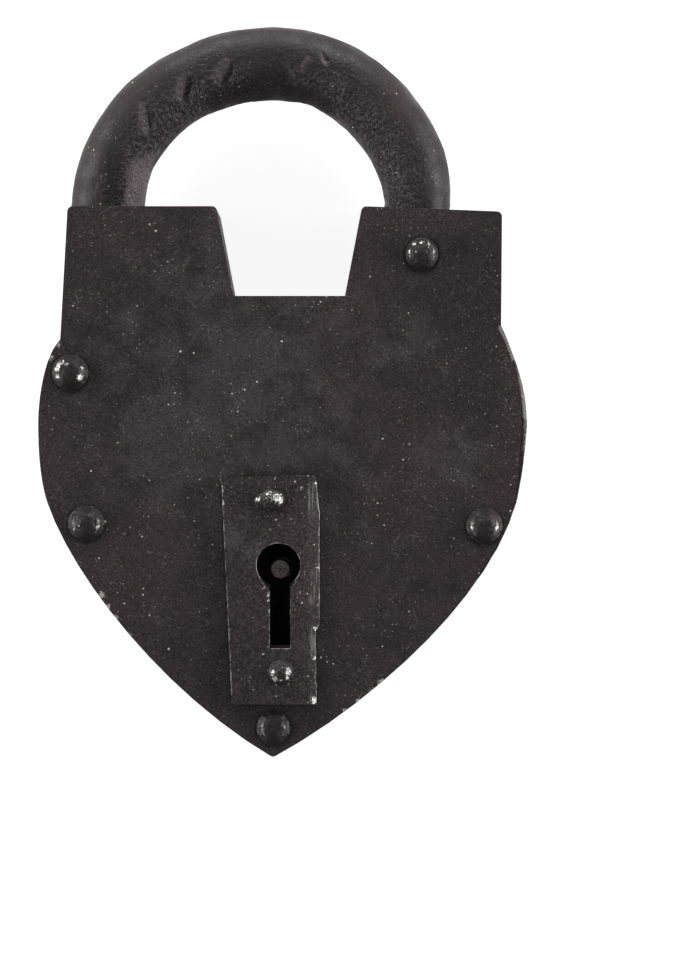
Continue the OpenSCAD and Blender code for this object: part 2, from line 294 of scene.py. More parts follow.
@dataclass(frozen=True)
class Iron:
    """Blackened iron, with its mottling, grain, dust, scratches and worn-bare places, with painted
    shade in crevices and in given patches, and painted light and painted highlights where given.

    Sizes are in millimetres. The tones are linear.
    """

    name: str
    dark: Colour = (0.011, 0.0086, 0.0092)
    light: Colour = (0.0605, 0.0448, 0.0492)
    rubbed_and_lit: Colour = (0.30, 0.28, 0.27)
    speckle: float = 0.8
    dust: float = 0.5
    pricks: float = 0.35
    fibres: float = 0.3
    grain: float = 0.05
    grain_size: float = 0.42
    pits: float = 0.0
    pit_size: float = 1.3
    pitted: bool = False
    ridge_tone: float = 0.2
    scooped: float = 0.0
    filed: float = 0.0
    hollow: float = 2.2
    hammer: float = 0.0
    hammer_size: float = 5.0
    worked: Grain = Grain.EVEN
    edge_wear: float = 0.5
    edge_reach: float = 0.45
    metallic: float = 0.0
    roughness: float = 0.52
    rubbed_metallic: float = 0.75
    rubbed_roughness: float = 0.36
    gloss: float = 0.12
    ragged: float = 0.8
    bright: tuple[Spot, ...] = ()
    polish_and_highlight: tuple[Spot, ...] = ()
    pale: Colour = (0.105, 0.096, 0.098)
    haze: float = 0.35
    smudges_and_painted_light: tuple[Spot, ...] = ()
    dusty: tuple[Spot, ...] = ()
    painted_shade: tuple[Spot, ...] = ()

    def material(self) -> bpy.types.Material:
        """Return the material, built and named after the finish."""
        material = bpy.data.materials.new(self.name)
        g = Graph(material)
        fine = g.noise(self.grain_size, 3.0, 0.75, vector=g.stretched(self.worked.value), spread=0.32)
        middle = g.noise(5.5, 4.0, 0.6)
        ridges = self.ridges(g)
        strands = self.strands(g, middle)
        painted_shade = g.spots(self.painted_shade, middle)
        wear_and_highlight = self.wear_and_highlight(g, fine)

        colour = self.relief_tone(g, self.iron_tone(g, fine, middle), fine, ridges)
        # Painted shade: the colour darkens towards half the dark tone in the painted_shade patches.
        colour = g.blend(g.math("MULTIPLY", painted_shade, 0.8), colour, tuple(0.5 * c for c in self.dark))
        colour = self.dust_tone(g, colour, middle)
        if strands is not None:
            colour = g.blend(g.fade(strands, 0.5, 1.0, 0.8), colour, FILED_TONE)
        # Worn-bare iron along edges and on spots; on the rivets' flanks it is partly a painted highlight.
        colour = g.blend(wear_and_highlight, colour, self.rubbed_and_lit)
        # Painted shade: the colour darkens towards a third of the dark tone in crevices and corners, found
        # by ambient occlusion.
        hollow = g.add("ShaderNodeAmbientOcclusion", {"Distance": self.hollow * MM}, samples=4)
        shaded = g.fade(hollow.outputs["AO"], 0.75, 0.15)
        colour = g.blend(shaded, colour, tuple(0.35 * c for c in self.dark))

        uneven = g.math("ADD", middle, g.level(fine, -0.3, 0.3))
        dull = g.level(uneven, self.roughness + 0.12, self.roughness - 0.12)
        # The painted shade patches are also made rougher.
        dull = g.math("ADD", dull, g.math("MULTIPLY", painted_shade, 0.25))
        smooth = {0: wear_and_highlight, 2: dull, 3: self.rubbed_roughness}
        inputs = {
            "Base Color": colour,
            "Metallic": g.level(wear_and_highlight, self.metallic, max(self.metallic, self.rubbed_metallic)),
            "Roughness": g.add("ShaderNodeMix", smooth, data_type="FLOAT").outputs[0],
            "Normal": self.relief(g, fine, ridges, strands),
            "Specular IOR Level": self.gloss,
        }
        shader = g.add("ShaderNodeBsdfPrincipled", inputs)
        g.add("ShaderNodeOutputMaterial", {"Surface": shader.outputs[0]})
        return material

    def iron_tone(self, g: Graph, fine: Socket, middle: Socket) -> Socket:
        """Return the mottled tone of the iron, with its pale patches, some of them painted light."""
        wide = g.noise(32.0, 3.0, 0.55)
        cloudy = {0: g.level(wide, 0.14, 0.46), 1: g.level(middle, -0.03, 0.22)}
        shade = g.add("ShaderNodeMath", cloudy, operation="ADD").outputs[0]
        tone = g.math("ADD", shade, g.level(fine, -self.speckle, self.speckle))
        colour = g.blend(tone, self.dark, self.light)
        uneven = g.level(fine, 0.3 * self.haze, 1.5 * self.haze)
        return g.blend(g.math("MULTIPLY", g.spots(self.smudges_and_painted_light, middle), uneven), colour, self.pale)

    def relief_tone(self, g: Graph, colour: Socket, fine: Socket, ridges: Socket | None) -> Socket:
        """Return the colour with paler ridges between the pits, and paler scoops."""
        if ridges is not None:
            colour = g.blend(g.fade(ridges, 0.35, 1.0, self.ridge_tone), colour, self.pale)
        if self.scooped:
            uneven = g.level(fine, 0.6 * self.scooped, 1.4 * self.scooped)
            colour = g.blend(g.math("MULTIPLY", g.layer("scooped"), uneven), colour, self.pale)
        return colour

    def dust_tone(self, g: Graph, colour: Socket, middle: Socket) -> Socket:
        """Return the colour with fibres, grains of dust and fine pricks of light on it."""
        colour = g.blend(g.math("MULTIPLY", self.lint(g), self.fibres), colour, LINT_TONE)
        loose = g.fade(g.noise(13.0), 0.2, 0.8)
        if self.dusty:
            loose = g.math("ADD", loose, g.spots(self.dusty, middle))
        large = g.math("MULTIPLY", g.specks(2.6, 0.27, 0.9 * self.dust), 0.95)
        small = g.math("MULTIPLY", g.math("MULTIPLY", g.specks(1.3, 0.21, self.dust), loose), 0.8)
        chance = g.level(loose, 0.45 * self.pricks, self.pricks)
        pricks = g.math("MULTIPLY", g.specks(0.75, 0.15, 0.8), chance)
        flecks = g.math("ADD", g.math("ADD", large, small), pricks)
        return g.blend(flecks, colour, g.blend(g.fade(middle, 0.4, 0.55), WARM_DUST, GREY_DUST))

    def relief(self, g: Graph, fine: Socket, ridges: Socket | None, strands: Socket | None) -> Socket:
        """Return the normal: hammer marks, pits, file strokes and grain, one over the other."""
        normal = g.bump(g.noise(self.hammer_size, 1.5, 0.4), self.hammer) if self.hammer else None
        if ridges is not None:
            normal = g.bump(ridges, self.pits, normal)
        if strands is not None:
            normal = g.bump(strands, self.filed, normal)
        return g.bump(fine, self.grain, normal)

    def strands(self, g: Graph, middle: Socket) -> Socket | None:
        """Return the strokes of the file, or None where the iron isn't filed."""
        if not self.filed:
            return None
        lines = g.noise(0.5, 3.0, 0.7, vector=g.stretched(Grain.FILED_ALONG.value), spread=0.2)
        return g.math("MULTIPLY", g.math("MULTIPLY", lines, g.layer("filed")), g.level(middle, 0.55, 1.15))

    def ridges(self, g: Graph) -> Socket | None:
        """Return the height of the ridges between the pits, or None where the iron has no pits."""
        if not self.pits:
            return None
        ridges = g.noise(self.pit_size, 2.0, 0.65, distortion=0.4)
        if self.pitted:
            ridges = g.math("MULTIPLY", ridges, g.level(g.layer("pitted"), 0.15, 1.0))
        return ridges

    def wear_and_highlight(self, g: Graph, fine: Socket) -> Socket:
        """Return where the black is worn bare along edges and on the bright spots, and where a highlight
        is painted as bare iron.
        """
        turned = g.math("MULTIPLY", g.edges(self.edge_reach), 0.7)
        edge = g.math("ADD", g.math("MULTIPLY", g.layer("rim"), 0.8), turned)
        edge = g.math("SUBTRACT", edge, g.layer("kept"))
        patchy = g.noise(3.2, 4.0, 0.7)
        chance = g.math("ADD", g.level(patchy, 0.1, 0.8), g.level(fine, -0.25, 0.3))
        start = 0.85 - 0.75 * self.edge_wear
        along = g.fade(g.math("MULTIPLY", edge, chance), start, start + 0.35)
        ragged = g.noise(self.ragged, 3.0, 0.7, spread=0.16)
        # The bright spots and the polish_and_highlight rows: on rivet flanks they are a painted highlight
        # as well as worn-bare iron.
        rubbed_and_lit = g.math("ADD", g.math("MULTIPLY", along, 0.85), g.spots(self.bright, ragged, 0.16))
        return g.math("ADD", rubbed_and_lit, g.spots(self.polish_and_highlight, g.level(fine, 0.35, 0.65), 0.3))

    @staticmethod
    def lint(g: Graph) -> Socket:
        """Return a mask of short hair scratches and fibres lying in three directions."""
        total = g.math("ADD", 0.0, 0.0)
        for turn, offset in ((12.0, 0.0), (68.0, 0.3), (131.0, 0.7)):
            along = g.stretched((1.0, 4.5, 1.0), turn)
            line = g.noise(0.42, 1.0, 0.4, vector=along, distortion=1.6)
            patch = g.fade(g.noise(7.0 + 5.0 * offset, 2.0, 0.6), 0.6, 0.95)
            total = g.math("ADD", total, g.math("MULTIPLY", g.fade(line, 0.955, 0.995), patch))
        return total


# ---------------------------------------------------------------- meshes


def merged(source: bpy.types.Object) -> BMesh:
    """Copy a frame mesh with its points joined and its flat faces made whole.

    Args:
        source: The frame's object.

    Returns:
        The copy.
    """
    bm = bmesh.new()
    bm.from_mesh(source.data)
    bmesh.ops.remove_doubles(bm, verts=bm.verts, dist=0.002 * MM)
    bmesh.ops.dissolve_limit(bm, angle_limit=math.radians(0.3), verts=bm.verts, edges=bm.edges)
    return bm


def soften(bm: BMesh, width: float, corner: float = 30.0) -> None:
    """Round the outer edges and mark the new faces, so that the finish can show them worn bare.

    Args:
        bm: The mesh.
        width: Width of the rounding in millimetres.
        corner: The least turn, in degrees, that counts as an edge.
    """
    rim = bm.faces.layers.float.new("rim")
    sharp = [
        edge
        for edge in bm.edges
        if edge.is_manifold and edge.is_convex and edge.calc_face_angle() > math.radians(corner)
    ]
    made = bmesh.ops.bevel(
        bm,
        geom=sharp,
        offset=width * MM,
        segments=3,
        profile=0.5,
        affect="EDGES",
        material=-1,
        clamp_overlap=True,
    )
    for face in made["faces"]:
        face[rim] = 1.0
    # Where there is no room for the rounding, it leaves faces without width.
    bmesh.ops.dissolve_degenerate(bm, dist=0.001 * MM, edges=bm.edges)


def spun(profile: list[Pair], centre: Vector, steps: int) -> BMesh:
    """Turn a profile of (radius, height) in millimetres round an upright axis.

    Args:
        profile: The points, from the bottom to the top, both ends on the axis.
        centre: Where the axis stands, at height zero.
        steps: How many steps a turn has.

    Returns:
        The closed mesh.
    """
    bm = bmesh.new()
    points = [bm.verts.new(centre + Vector((r * MM, 0.0, z * MM))) for r, z in profile]
    edges = [bm.edges.new(pair) for pair in zip(points, points[1:])]
    bmesh.ops.spin(
        bm,
        geom=points + edges,
        cent=centre,
        axis=(0.0, 0.0, 1.0),
        angle=math.tau,
        steps=steps,
        use_merge=True,
    )
    bmesh.ops.remove_doubles(bm, verts=bm.verts, dist=0.003 * MM)
    bmesh.ops.recalc_face_normals(bm, faces=bm.faces)
    return bm


def wander(point: Vector, scale: float) -> float:
    """Return a value from about -1 to 1 that changes over a surface, faster for a larger scale."""
    return noise.fractal(point * scale, 0.8, 2.0, 2)


def add_object(name: str, data: bpy.types.ID) -> bpy.types.Object:
    """Put a new object that shows a mesh, a lamp or a camera into the scene, and return it."""
    obj = bpy.data.objects.new(name, data)
    bpy.context.scene.collection.objects.link(obj)
    return obj


@dataclass
class Piece:
    """Shared ways of the sub-assemblies to put a finished mesh into the scene."""

    frame: dict
    made: list[str] = field(default_factory=list)

    def place(
        self,
        bm: BMesh,
        node: str,
        finish: Iron,
        body: Body = Body.CASE,
        slot: Slot = Slot.BLACKENED,
        crease: float = 40.0,
    ) -> None:
        """Put a mesh in place of a frame node.

        Args:
            bm: The mesh, which is freed.
            node: The node that it stands for.
            finish: The finish.
            body: The body that it rides on.
            slot: Not used.
            crease: Edges that turn by more degrees than this stay sharp.
        """
        mesh = bpy.data.meshes.new(f"{node}_worked")
        bmesh.ops.recalc_face_normals(bm, faces=bm.faces)
        bm.to_mesh(mesh)
        bm.free()
        mesh.materials.append(finish.material())
        mesh.shade_smooth()
        mesh.set_sharp_from_angle(angle=math.radians(crease))
        obj = add_object(f"{node}_worked", mesh)
        even = obj.modifiers.new("even_normals", "WEIGHTED_NORMAL")
        even.keep_sharp = True
        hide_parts(node)
        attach(obj, body.value)
        self.made.append(obj.name)
        LOG.info("%s: %d faces, replaces %s", obj.name, len(mesh.polygons), node)

    def dress(self, nodes: tuple[str, ...], finish: Iron) -> None:
        """Give frame nodes that keep their own meshes one finish."""
        material = finish.material()
        for name in nodes:
            mesh = self.frame["nodes"][name].data
            mesh.materials.clear()
            mesh.materials.append(material)
            self.made.append(name)
            LOG.info("%s: keeps its mesh, finish %s", name, finish.name)


# ---------------------------------------------------------------- sub-assemblies


@dataclass
class Case(Piece):
    """The two plates and the two strips bent round their edge."""

    plate_edge: float = 0.32
    band_edge: float = 0.3
    plate: Iron = Iron(
        "plate_iron",
        light=(0.0512, 0.0376, 0.0415),
        edge_wear=0.42,
        ragged=0.6,
        hammer=0.10,
        hammer_size=9.0,
        haze=0.2,
        smudges_and_painted_light=level_spots(
            23.0,
            (-10.0, 0.0, 50.0, 0.66, 0.0),
            (27.0, 11.0, 8.0, 0.6),
            (29.0, 22.0, 6.0, 0.5),
            (-9.0, 5.0, 7.0, 0.55),
            (36.0, -14.0, 11.0, 0.5),
            (16.0, -30.0, 7.0, 0.45),
            (-22.0, -12.0, 14.0, 0.5),
        ),
        dusty=level_spots(
            23.0,
            (-34.0, 32.0, 12.0, 0.9),
            (-24.0, 28.0, 8.0, 0.7),
            (40.0, 10.0, 11.0, 0.9),
            (44.0, -6.0, 9.0, 0.9),
            (12.0, -55.0, 10.0, 0.8),
            (-16.0, -22.0, 9.0, 0.6),
        ),
        bright=(
            *level_spots(
                23.0,
                (20.2, -60.2, 1.3, 0.75),
                (18.3, -61.9, 1.1, 0.6),
                (15.6, -64.0, 1.0, 0.55),
                (12.7, -66.0, 0.9, 0.6),
                (-37.2, -42.3, 1.2, 0.7),
                (-36.0, -44.6, 1.0, 0.6),
                (-34.4, -46.9, 1.0, 0.5),
                (-31.6, -50.4, 0.9, 0.5),
                (11.9, 19.8, 1.0, 0.5),
            ),
            *level_spots(22.8, (-46.6, 9.4, 1.5, 0.6), (-47.6, 6.6, 1.2, 0.5)),
        ),
        polish_and_highlight=row_of_spots(((44.4, 12.7, 23.1), (46.0, 9.4, 23.1), (47.4, 5.4, 23.1)), 0.75, 0.42),
        # Painted shade round the five rivet heads, and two wide, faint patches of painted shade on the
        # right shoulder and the lower right.
        painted_shade=level_spots(
            23.0,
            (-43.62, 3.2, 4.8, 0.7, 0.75),
            (-40.31, -27.7, 4.7, 0.7, 0.75),
            (41.31, -28.1, 4.7, 0.7, 0.75),
            (-1.96, -69.6, 4.6, 0.6, 0.75),
            (28.43, 27.5, 4.5, 0.7, 0.75),
            (39.0, 24.0, 24.0, 0.27, 0.3),
            (27.0, -41.0, 24.0, 0.27, 0.3),
        ),
    )
    band: Iron = Iron(
        "band_iron",
        edge_wear=0.62,
        ragged=0.6,
        hammer=0.12,
        hammer_size=7.0,
        pits=0.05,
        polish_and_highlight=(
            *row_of_spots(((46.6, 8.6, 20.5), (48.0, 5.2, 20.5), (48.8, 2.5, 20.5)), 1.2, 0.48),
            *row_of_spots(((48.8, 2.5, 20.5), (49.7, -2.0, 20.5), (50.0, -6.5, 20.5)), 1.2, 0.68),
            *row_of_spots(((50.0, -6.5, 20.5), (50.0, -10.0, 20.5), (49.6, -13.5, 20.5)), 1.2, 0.40),
        ),
    )

    def build(self) -> None:
        """Build the plates and the bands."""
        table = (
            ("front_plate", self.plate_edge, self.plate),
            ("back_plate", self.plate_edge, self.plate),
            ("side_band", self.band_edge, self.band),
            ("notch_band", self.band_edge, self.band),
        )
        for node, edge, finish in table:
            bm = merged(self.frame["nodes"][node])
            soften(bm, edge)
            self.place(bm, node, finish)


@dataclass(frozen=True)
class Gouge:
    """A scoop that a chisel left on the top of the bar, with a lip at its deep side."""

    at: Pair
    turn: float
    half_w: float
    half_l: float
    depth: float
    lip: float = 0.45
    outside: float = 9.0

    def across(self, point: Vector) -> Pair:
        """Return where a point of the bar lies in the scoop.

        Args:
            point: The point in millimetres.

        Returns:
            The place across, -1 at the shallow side and 1 at the deep side, and the taper, from 1
            in the middle of the scoop's length to 0 at its ends.
        """
        angle = math.radians(self.turn)
        x, y = point.x - self.at[0], point.y - self.at[1]
        u = x * math.cos(angle) + y * math.sin(angle)
        v = y * math.cos(angle) - x * math.sin(angle)
        if abs(v) >= self.half_l:
            return self.outside, 0.0
        taper = math.sqrt(1.0 - (v / self.half_l) ** 2)
        return u / max(self.half_w * taper, 0.01), taper

    def lift(self, point: Vector) -> float:
        """Return how far a point of the bar is raised in millimetres, below zero in the scoop."""
        u, taper = self.across(point)
        if u < -1.0:
            return 0.0
        if u < 1.0:
            return -self.depth * taper * (0.5 + 0.5 * u) ** 1.3
        beyond = (u - 1.0) * self.half_w * taper
        return self.lip * self.depth * taper * math.exp(-((beyond / self.lip) ** 2))

    def facet(self, point: Vector) -> float:
        """Return how much a point belongs to the scoop's pale floor, from 0 to 1."""
        u, taper = self.across(point)
        return min(1.0, 1.6 * taper) * min(1.0, max(0.0, 2.2 - 2.6 * abs(u + 0.15)))


@dataclass
class Shackle(Piece):
    """The round bar, its flattened hinged leg and its notched toe. Sizes are in millimetres."""

    bar_r: float = 7.45
    leg_x: float = -36.376
    heel_x: float = 27.629
    top_y: float = 67.95
    left_r: float = 31.9525
    right_r: float = 30.5525
    mid_z: float = 11.5
    rings: int = 128
    left_steps: int = 126
    right_steps: int = 120
    toe_joint: float = 37.7
    heel_joint: float = 36.0
    lap: float = 0.05
    end_edge: float = 0.4
    flat_half: float = 6.55
    flat_top: float = 36.7
    flat_runout: float = 0.25
    flat_reach: float = 8.0
    heel_fade: float = 3.0
    leg_rows: int = 4
    leg_row: float = 0.5
    hammer_depth: float = 0.12
    dimple_depth: float = 0.035
    pit_depth: float = 0.16
    finish: Iron = Iron(
        "shackle_iron",
        dark=(0.004, 0.0028, 0.0031),
        light=(0.0285, 0.0185, 0.0210),
        pale=(0.132, 0.107, 0.113),
        grain=0.022,
        grain_size=0.5,
        speckle=0.5,
        dust=0.2,
        pricks=0.3,
        pits=0.26,
        pit_size=0.75,
        pitted=True,
        hammer=0.05,
        hammer_size=4.0,
        fibres=0.1,
        roughness=0.45,
        gloss=0.17,
        edge_wear=0.4,
        ridge_tone=0.42,
        scooped=0.42,
        haze=0.9,
        # Painted light: pale patches on the inner flanks of both legs, where the side lamps fall.
        smudges_and_painted_light=(
            Spot((-30.2, 38.5, 15.0), 6.2, 1.0, 0.4),
            Spot((-29.9, 44.5, 15.0), 6.0, 0.95, 0.3),
            Spot((-27.8, 50.0, 14.0), 4.6, 0.5, 0.1),
            Spot((21.0, 40.0, 14.0), 5.0, 0.5, 0.1),
        ),
        # Painted shade under and along the inner top of the bow, across its crown and on the top of the
        # left leg.
        painted_shade=(
            Spot((-3.5, 67.5, 18.5), 11.0, 0.42, 0.2),
            Spot((-3.0, 60.6, 15.0), 9.0, 0.9, 0.4),
            Spot((-11.0, 59.0, 15.0), 7.0, 0.8, 0.4),
            Spot((6.0, 58.6, 15.0), 6.0, 0.7, 0.4),
            Spot((-35.0, 48.5, 18.9), 3.4, 0.7, 0.2),
            Spot((-35.4, 44.5, 18.9), 3.6, 0.9, 0.3),
            Spot((-35.0, 40.0, 18.9), 3.8, 0.9, 0.3),
        ),
    )
    gouges: tuple[Gouge, ...] = (
        Gouge((-20.6, 62.6), -16.0, 1.9, 3.3, 0.80),
        Gouge((-12.4, 65.6), -26.0, 2.1, 3.0, 0.70),
        Gouge((-28.6, 56.0), 8.0, 1.5, 3.8, 0.45),
        Gouge((4.6, 67.2), -35.0, 1.0, 1.9, 0.4),
        Gouge((8.4, 68.0), 20.0, 0.8, 1.6, 0.4),
    )
    bow_mid: Pair = (-3.5, 38.1)
    trim_step: float = 6.0
    inner_trim: tuple[float, ...] = (
        -0.89, -0.68, -0.63, -0.43, -0.27, -0.12, 0.03, 0.09, 0.14, 0.03, -0.07, -0.37,
        -0.22, 0.19, 0.19, 0.24, 0.39, 0.39, 0.50, 0.55, 0.44, 0.24, 0.14, 0.03,
        0.03, -0.07, -0.22, -0.48, -0.27, -0.17, -0.1,
    )
    outer_trim: tuple[float, ...] = (
        -0.63, -0.17, 0.14, 0.34, 0.29, 0.24, 0.14, 0.29, 0.14, 0.19, 0.29, 0.24,
        0.19, 0.19, 0.14, 0.09, -0.17, -0.12, -0.22, -0.37, -0.37, -0.17, -0.07, 0.19,
        0.19, 0.24, 0.34, 0.44, 0.39, 0.44, 0.39,
    )

    def build(self) -> None:
        """Build the shackle from its bar, its heel and its toe."""
        bar = self.bar()
        self.forge(bar)
        self.cut(bar, self.toe_joint, self.heel_joint, keep_above=True)
        bar.faces.layers.float.new("rim")
        ends = self.ends()
        bar.from_mesh(ends)
        bpy.data.meshes.remove(ends)
        self.place(bar, "shackle", self.finish, body=Body.SHACKLE, crease=50.0)

    def ends(self) -> bpy.types.Mesh:
        """Return the notched toe and the heel with its hole, cut from the frame's shackle."""
        bm = merged(self.frame["nodes"]["shackle"])
        self.cut(bm, self.toe_joint + self.lap, self.heel_joint + self.lap, keep_above=False)
        soften(bm, self.end_edge, 40.0)
        for name in ("pitted", "scooped"):
            bm.verts.layers.float.new(name)
        mesh = bpy.data.meshes.new("shackle_ends")
        bm.to_mesh(mesh)
        bm.free()
        return mesh

    @staticmethod
    def cut(bm: BMesh, left_y: float, right_y: float, keep_above: bool) -> None:
        """Cut both legs straight across and close the cuts.

        Args:
            bm: The mesh.
            left_y: Where the left leg is cut, in millimetres.
            right_y: Where the right leg is cut, in millimetres.
            keep_above: Whether the bow is kept, or what lies below it.
        """
        for side, height in ((-1.0, left_y), (1.0, right_y)):
            faces = [face for face in bm.faces if face.calc_center_median().x * side >= 0.0]
            edges = dict.fromkeys(edge for face in faces for edge in face.edges)
            verts = dict.fromkeys(vert for face in faces for vert in face.verts)
            bmesh.ops.bisect_plane(
                bm,
                geom=[*verts, *edges, *faces],
                dist=0.001 * MM,
                plane_co=(0.0, height * MM, 0.0),
                plane_no=(0.0, 1.0, 0.0),
                clear_inner=keep_above,
                clear_outer=not keep_above,
            )
        bmesh.ops.holes_fill(bm, edges=[edge for edge in bm.edges if edge.is_boundary])

    def bar(self) -> BMesh:
        """Return the bow as a round bar swept through its two curves and down the hinged leg."""
        bm = bmesh.new()
        left_x, right_x = self.leg_x + self.left_r, self.heel_x - self.right_r
        left = Vector((left_x, self.top_y - self.left_r, self.mid_z)) * MM
        right = Vector((right_x, self.top_y - self.right_r, self.mid_z)) * MM
        crown = Vector((left_x, self.top_y, self.mid_z)) * MM
        start = Matrix.Translation(crown) @ Matrix.Rotation(math.pi / 2, 4, "Y")
        radius = self.bar_r * MM
        ring = bmesh.ops.create_circle(bm, segments=self.rings, radius=radius, matrix=start)["verts"]
        first = bm.edges[:]
        verts, edges = self.drawn(bm, first, Vector((right_x - left_x, 0.0, 0.0)) * MM)
        down = self.quarter(bm, verts + edges, right, -1.0, self.right_steps)
        self.quarter(bm, ring + first, left, 1.0, self.left_steps)
        edges = [item for item in down if isinstance(item, bmesh.types.BMEdge)]
        for _ in range(self.leg_rows):
            _, edges = self.drawn(bm, edges, Vector((0.0, -self.leg_row * MM, 0.0)))
        bmesh.ops.remove_doubles(bm, verts=bm.verts, dist=0.003 * MM)
        return bm

    @staticmethod
    def quarter(bm: BMesh, ring: list, centre: Vector, way: float, steps: int) -> list:
        """Sweep a ring through a quarter turn, to the left for way 1, and return its last place."""
        axis = (0.0, 0.0, way)
        turned = bmesh.ops.spin(bm, geom=ring, cent=centre, axis=axis, angle=math.pi / 2, steps=steps)
        return turned["geom_last"]

    @staticmethod
    def drawn(bm: BMesh, edges: list[bmesh.types.BMEdge], way: Vector) -> tuple[list, list]:
        """Draw a ring out along a way, and return the points and edges at its new place."""
        geom = bmesh.ops.extrude_edge_only(bm, edges=edges)["geom"]
        verts = [item for item in geom if isinstance(item, bmesh.types.BMVert)]
        bmesh.ops.translate(bm, verts=verts, vec=way)
        lines = [item for item in geom if isinstance(item, bmesh.types.BMEdge)]
        return verts, [line for line in lines if all(vert in verts for vert in line.verts)]

    def forge(self, bm: BMesh) -> None:
        """Move the bar's surface as hammer and chisel left it, and mark where it is pitted."""
        pitted = bm.verts.layers.float.new("pitted")
        scooped = bm.verts.layers.float.new("scooped")
        bm.normal_update()
        moves = []
        for vert in bm.verts:
            point = vert.co / MM
            arm = Vector((point.x - self.bow_mid[0], point.y - self.bow_mid[1], 0.0))
            side = vert.normal.dot(arm.normalized())
            vert[pitted] = min(1.0, max(0.0, 0.55 - 1.4 * side))
            lift = self.trim(arm, side)
            lift += self.hammer_depth * wander(point, 0.13)
            lift += self.dimple_depth * noise.noise(point * 0.55)
            lift -= self.pit_depth * vert[pitted] * max(0.0, noise.noise(point * 1.15))
            if point.z > self.mid_z:
                lift += sum(gouge.lift(point) for gouge in self.gouges)
                vert[scooped] = max(gouge.facet(point) for gouge in self.gouges)
            if point.x > 0.0:
                lift *= min(1.0, max(0.0, (point.y - self.heel_joint) / self.heel_fade))
            moves.append((vert, vert.normal * lift * MM))
        for vert, move in moves:
            vert.co += move
            self.flatten(vert)

    def flatten(self, vert: bmesh.types.BMVert) -> None:
        """Bring a point of the hinged leg inside the two flats, which run out up the bow."""
        height = vert.co.y / MM
        if vert.co.x > 0.0 and height < self.flat_top + self.flat_reach:
            half = self.flat_half + self.flat_runout * max(0.0, height - self.flat_top)
            vert.co.x = min(max(vert.co.x, (self.heel_x - half) * MM), (self.heel_x + half) * MM)

    def trim(self, arm: Vector, side: float) -> float:
        """Return how much thicker the bar is than round, from its outline.

        Args:
            arm: The way from the middle of the bow to the point, in millimetres.
            side: 1 on the outer side of the bow, -1 on the inner side, 0 between.

        Returns:
            The lift in millimetres, below zero where the bar is thinner.
        """
        table = self.outer_trim if side > 0.0 else self.inner_trim
        step = min(max(math.degrees(math.atan2(arm.y, arm.x)), 0.0), 179.9) / self.trim_step
        if arm.y < 0.0:
            step = 0.0 if arm.x > 0.0 else 29.9
        low = int(step)
        return (table[low] + (table[low + 1] - table[low]) * (step - low)) * side * side


@dataclass(frozen=True)
class Rivet:
    """One rivet with a round head: its place, its sizes in millimetres, how it is worn and where a
    highlight is painted on it.

    The left and right flanks carry a crescent, worn bare and partly a painted highlight, as strong
    as rub_and_highlight says. The crescents lie crescent_low below the middle of the head.
    """

    node: str
    at: Pair
    rub_and_highlight: Pair
    bright: tuple[Spot, ...] = ()
    rise: float = 2.4
    head_r: float = 3.7
    shank_r: float = 2.0
    slot: Slot = Slot.BLACKENED
    crescent_low: float = 0.0


